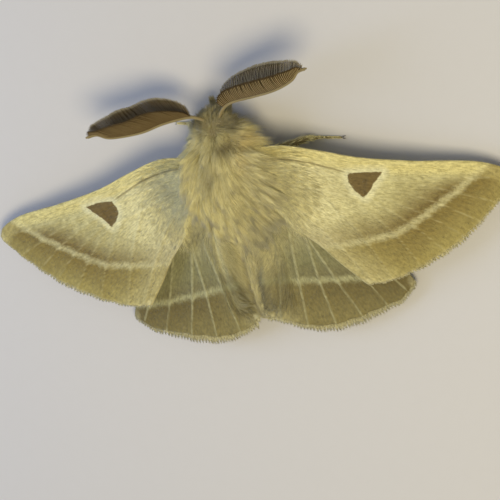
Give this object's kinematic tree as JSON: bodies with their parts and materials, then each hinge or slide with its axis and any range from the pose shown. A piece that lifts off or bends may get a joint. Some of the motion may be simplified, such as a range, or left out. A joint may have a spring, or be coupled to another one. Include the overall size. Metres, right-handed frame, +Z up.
{
  "type": "male moth model",
  "caption": "Life-size resting moth with spread rounded wings, raised veins, a shaggy coated body, comb-like feelers and feet flat on the floor.",
  "frame": {"origin": "middle of the box round the moth, at the floor that its feet stand on", "axes": "+Y towards the head, +X towards the moth's right wing, +Z up from the floor"},
  "size_m": [0.0498, 0.0252, 0.0075],
  "materials": {
    "coat": "long soft fur, cream to straw",
    "head_coat": "short soft fur, brown",
    "wing": "dry powdery scales, pale ochre",
    "antenna": "fine brown filaments on a cream stem",
    "eye": "glossy, nearly black",
    "leg": "fur-clad, dull straw"
  },
  "bodies": {
    "root": {"head": "head_coat", "eye_left": "eye", "eye_right": "eye", "palp_left": "head_coat", "palp_right": "head_coat", "antenna_left": "antenna", "antenna_right": "antenna", "thorax": "coat", "abdomen": "coat", "forewing_left": "wing", "forewing_right": "wing", "hindwing_left": "wing", "hindwing_right": "wing", "foreleg_left": "leg", "foreleg_right": "leg", "midleg_left": "leg", "midleg_right": "leg", "hindleg_left": "leg", "hindleg_right": "leg"}
  },
  "joints": []
}
